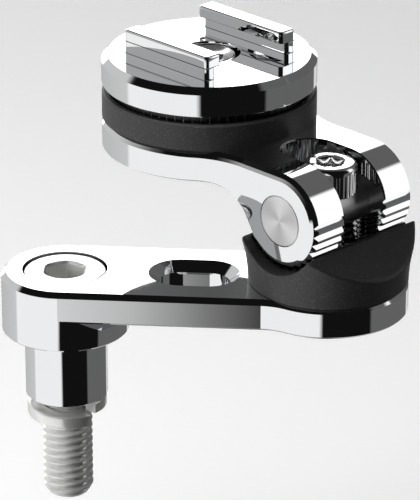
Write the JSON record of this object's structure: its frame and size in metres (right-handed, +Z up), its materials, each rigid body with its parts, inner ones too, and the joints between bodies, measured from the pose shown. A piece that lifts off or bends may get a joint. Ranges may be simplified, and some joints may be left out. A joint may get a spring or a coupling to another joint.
{
  "type": "phone handlebar mount",
  "caption": "Chromed phone mount for a motorcycle handlebar clamp: slotted lower arm on an M8 screw, swivelling saddle, tilting yoke and a turning head with case rails.",
  "frame": {"origin": "on the axis of the M8 mounting screw, in the plane where its spring washer meets the handlebar clamp", "axes": "+X along the lower arm from the mounting screw to the swivel axis, +Z up the mounting screw towards its head"},
  "size_m": [0.0646, 0.048, 0.0728],
  "materials": {
    "chrome_plate": "mirror-bright chrome plate on cast aluminium",
    "zinc_plated_steel": "satin zinc-plated steel",
    "stainless_steel": "fine-turned stainless steel",
    "glass_filled_nylon": "moulded glass-filled nylon, fine speckle",
    "black_acetal": "smooth black acetal"
  },
  "bodies": {
    "bolt_stack": {"mounting_bolt": "zinc_plated_steel", "spacer_sleeve": "chrome_plate", "lock_washer": "zinc_plated_steel"},
    "arm": {"lower_arm": "chrome_plate", "clamp_nut": "stainless_steel", "swivel_ring": "black_acetal"},
    "clamp": {"clamp_screw": "stainless_steel"},
    "base": {"saddle": "glass_filled_nylon", "saddle_liner": "black_acetal", "cross_pin": "stainless_steel"},
    "upper": {"yoke": "chrome_plate", "head_nut": "stainless_steel", "collar": "glass_filled_nylon", "collar_dowels": "stainless_steel", "pivot_sleeve": "black_acetal", "thrust_washer": "black_acetal", "head_screw": "stainless_steel", "detent_balls": "stainless_steel", "detent_springs": "stainless_steel"},
    "head": {"head_plate": "chrome_plate", "index_ring": "black_acetal", "ring_screws": "stainless_steel"}
  },
  "joints": [
    {"name": "arm_swing", "type": "hinge", "parent": "bolt_stack", "child": "arm", "pos_m": [0, 0, 0.0252], "axis": [0, 0, 1], "continuous": true},
    {"name": "clamp_screw_turn", "type": "hinge", "parent": "arm", "child": "clamp", "pos_m": [0.04125, 0, 0.0252], "axis": [0, 0, 1], "continuous": true},
    {"name": "base_swivel", "type": "hinge", "parent": "arm", "child": "base", "pos_m": [0.04125, 0, 0.0252], "axis": [0, 0, 1], "continuous": true},
    {"name": "yoke_tilt", "type": "hinge", "parent": "base", "child": "upper", "pos_m": [0.04125, 0, 0.03787], "axis": [0.6534, 0.757, 0], "range_deg": [-15, 60]},
    {"name": "head_turn", "type": "hinge", "parent": "upper", "child": "head", "pos_m": [0.02123, 0.01728, 0.05564], "axis": [0, 0, 1], "continuous": true}
  ]
}
